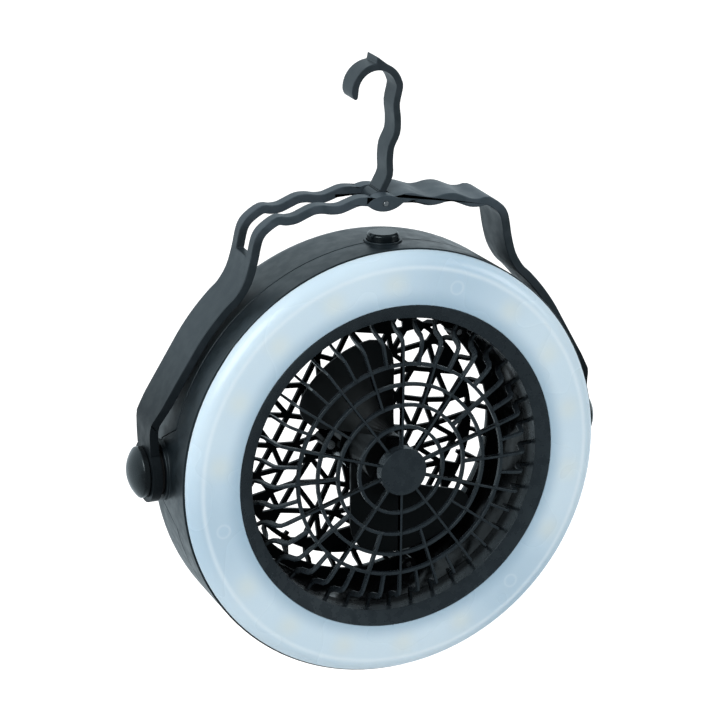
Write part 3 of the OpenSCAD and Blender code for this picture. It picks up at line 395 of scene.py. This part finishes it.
paint(laminate("glass_laminate_white_mask", "#e9ebe8", "#dcdfdc"), "led_board")
paint(laminate("glass_laminate_green_mask", "#1d5a35", "#174a2b"), "control_board")
phosphor, tree, shader, point = finish("silicone_phosphor_dome", ior=1.41, coat=0.5)
share = add(tree, "MapRange", (grain(tree, point, 1.5, 2), *MOST, 0, 1), **SMOOTH)
fill(tree, shader, {
    "Base Color": add(tree, "Mix", (share, linear("#e9d98a"), linear("#f2e9b4")), data_type="RGBA"),
    "Roughness": 0.25})
paint(phosphor, "leds")
component_epoxy = moulded("epoxy_component_case", "#17181a", "#222427",
                          rough=0.5, grain_mm=0.3, depth_mm=0.01)
paint(component_epoxy, "board_components", "switch_body")
plunger_pom = moulded("acetal_plunger_white", "#d9d9d2", "#e6e6e0",
                      rough=0.35, grain_mm=0.6, depth_mm=0.005)
paint(plunger_pom, "switch_plunger")

# ---------- power button ----------
# A glossy black cap that slides in a low collar at the top of the housing.
# The collar is part of the housing's finish, the cap comes from a mirror polished tool.
button_abs = moulded("ABS_button_high_gloss", "#080c0f", "#0c1215",
                     rough=0.16, grain_mm=1.5, depth_mm=0.003, ior=1.42, tint=COOL)
rounded("power_button", button_abs, 0.35)
rounded("button_collar", housing_abs, 0.25)

# ---------- battery boxes ----------
# Two black boxes hold two cells each, with nickel plated contacts and coil springs.
# The boxes are matte, the nickel has a warm shine, and the cells wear a plain blue shrink sleeve.
box_abs = moulded("ABS_battery_box_matte", "#15181a", "#1c1f22",
                  rough=0.55, grain_mm=0.5, depth_mm=0.015, tint=COOL)
paint(box_abs, "battery_box_left", "battery_box_right")
nickel = metal("nickel_plated_spring_steel", "#a9a59b", "#cfcbbf",
               rough=0.22, line_mm=0.4, stretch=(1, 1, 1))
paint(nickel, "battery_contacts", "battery_springs")
sleeve = moulded("PVC_shrink_sleeve_plain", "#25445e", "#2d5270",
                 rough=0.28, grain_mm=2.0, depth_mm=0.01)
paint(sleeve, "battery_cells")

# ---------- pivot knobs ----------
# Domed black knobs clamp the handle's eyes to the housing through rubber washers.
# The knobs are glossy, the washers are dull with a fine powdery bloom.
knob_abs = moulded("ABS_knob_gloss", "#0a0c0e", "#0e1113",
                   rough=0.24, grain_mm=1.2, depth_mm=0.008, tint=COOL)
for side in ("left", "right"):
    rounded("pivot_knob_" + side, knob_abs, 0.4)
washer_rubber = moulded("nitrile_rubber_washer", "#121314", "#1c1d1e",
                        rough=0.72, grain_mm=0.35, depth_mm=0.03, ior=1.52)
rounded("pivot_washers", washer_rubber, 0.2)

# ---------- handle and hook ----------
# A springy strap of black ABS with a wavy grip, and a hook that folds into the strap's slot.
# Both have a satin skin, a little paler than the housing. The strap carries painted shade at its lower ends
# and a painted highlight on its grip.
SATIN = {"dark": "#20282d", "light": "#282f35", "rough": 0.42, "grain_mm": 0.5, "depth_mm": 0.012,
         "ior": 1.43, "tint": COOL}
UPWARD = (0, 0, 1)
PIN_Z, EYE_TOP_Z = -0.0551, -0.135
LUG_TIP_X, LUG_END_X, LUG_HALF_HEIGHT = 0.0084, 0.0098, 0.0045
LUG_RAMP, EYE_RAMP = 0.004, 0.02       # the lengths over which the radius grows
hook_abs = moulded("ABS_hook_satin", **SATIN)
strap_abs = moulded("ABS_handle_satin", **SATIN)
# painted shade darkens the strap from 35 mm above the eyes' tops downwards, and a painted highlight doubles
# the grip's colour from just below the hook pin upwards
paint_shade_and_light(strap_abs, UPWARD, (EYE_TOP_Z - 0.02, EYE_TOP_Z + 0.035, 0.35, 1),
      (PIN_Z - 0.013, PIN_Z - 0.004, 1, 2))


def less_at_lug(place):
    """The full radius on the strap, less at its eyes and on the pin's lugs, almost none at their tips."""
    from_tip = abs(abs(place.x) - LUG_TIP_X)
    if abs(place.x) < LUG_END_X and abs(place.z - PIN_Z) < LUG_HALF_HEIGHT:
        return 0.1 + min(from_tip / LUG_RAMP, 1) * 0.3
    return min(max((place.z - EYE_TOP_Z) / EYE_RAMP, 0.12), 1)


rounded("handle", strap_abs, 0.5, less_at_lug)
rounded("hook", hook_abs, 0.45)

# ---------- floor, backdrop and light ----------
# A plain pale floor below the hanging fan and a white surround seen by the camera.
# A large soft lamp stands at the upper left and a weaker one at the right.
FLOOR_Z, FLOOR_HALF = -0.60, 6
FLOOR_LIFT = 0.62        # the floor's own glow to the camera, which brings it to white
AMBIENT = 0.68
COOL_ROOM = (0.80, 0.93, 1.0, 1)
ROOM_DIM = 0.22          # how bright the room before the fan is, where the backdrop behind it is 1
pale, tree, shader, point = finish("pale_studio_floor")
fill(tree, shader, {"Base Color": linear("#e8e8e8"), "Roughness": 0.8})
floor_corners = [(x * FLOOR_HALF, y * FLOOR_HALF, FLOOR_Z) for x, y in ((-1, -1), (1, -1), (1, 1), (-1, 1))]
floor_mesh = bpy.data.meshes.new("studio_floor")
floor_mesh.from_pydata(floor_corners, [], [(0, 1, 2, 3)])
floor_mesh.materials.append(pale)
floor = bpy.data.objects.new("studio_floor", floor_mesh)
scene.collection.objects.link(floor)
path = add(tree, "LightPath").outputs
seen = add(tree, "Math", (path["Is Camera Ray"], FLOOR_LIFT), operation="MULTIPLY")
lift = add(tree, "Emission", {"Color": (1, 1, 1, 1), "Strength": seen})
shown = add(tree, "AddShader", (shader.outputs[0], lift))
# behind the fan the floor is as white as the backdrop, and towards the front it lies in the dim room
depth = add(tree, "SeparateXYZ", (point,)).outputs["Y"]
bright = add(tree, "MapRange", (depth, -0.3, 0.5, ROOM_DIM, 1.0), **SMOOTH)
glow = add(tree, "Emission", {"Color": COOL_ROOM, "Strength": bright})
mirrored = add(tree, "MixShader", (path["Is Glossy Ray"], shown, glow))
fill(tree, tree.nodes["Material Output"], {"Surface": mirrored})

surround = bpy.data.worlds.new("white_surround")
surround.use_nodes = True
scene.world = surround
tree = surround.node_tree
path = add(tree, "LightPath").outputs
seen = add(tree, "Math", (path["Is Camera Ray"], path["Is Transmission Ray"]), operation="MAXIMUM")
# the backdrop behind the fan is white and the room in front of it is dim, as in a studio
facing = add(tree, "SeparateXYZ", (add(tree, "TexCoord").outputs["Generated"],)).outputs["Y"]
mirrored = add(tree, "MapRange", (facing, -0.6, 0.75, ROOM_DIM, 1.0), **SMOOTH)
lit = add(tree, "Mix", (path["Is Glossy Ray"], AMBIENT, mirrored), data_type="FLOAT")
fill(tree, tree.nodes["Background"], {
    "Strength": add(tree, "Mix", (seen, lit, 1.0), data_type="FLOAT"),
    "Color": add(tree, "Mix", (path["Is Glossy Ray"], (1, 1, 1, 1), COOL_ROOM), data_type="RGBA")})


def soft_lamp(name, place, size, watts):
    """A square area lamp that faces the fan's upper half."""
    lamp = bpy.data.lights.new(name, "AREA")
    lamp.size = size
    lamp.energy = watts
    facing_fan = (Vector(place) - Vector((0, 0, -0.15))).to_track_quat("Z", "Y")
    stand = bpy.data.objects.new(name, lamp)
    stand.matrix_world = Matrix.Translation(place) @ facing_fan.to_matrix().to_4x4()
    scene.collection.objects.link(stand)


soft_lamp("key_lamp", (-1.3, -0.75, 0.95), 1.2, 22)
soft_lamp("fill_lamp", (1.3, -0.7, 0.5), 0.7, 5)
scene.view_settings.view_transform = "Standard"
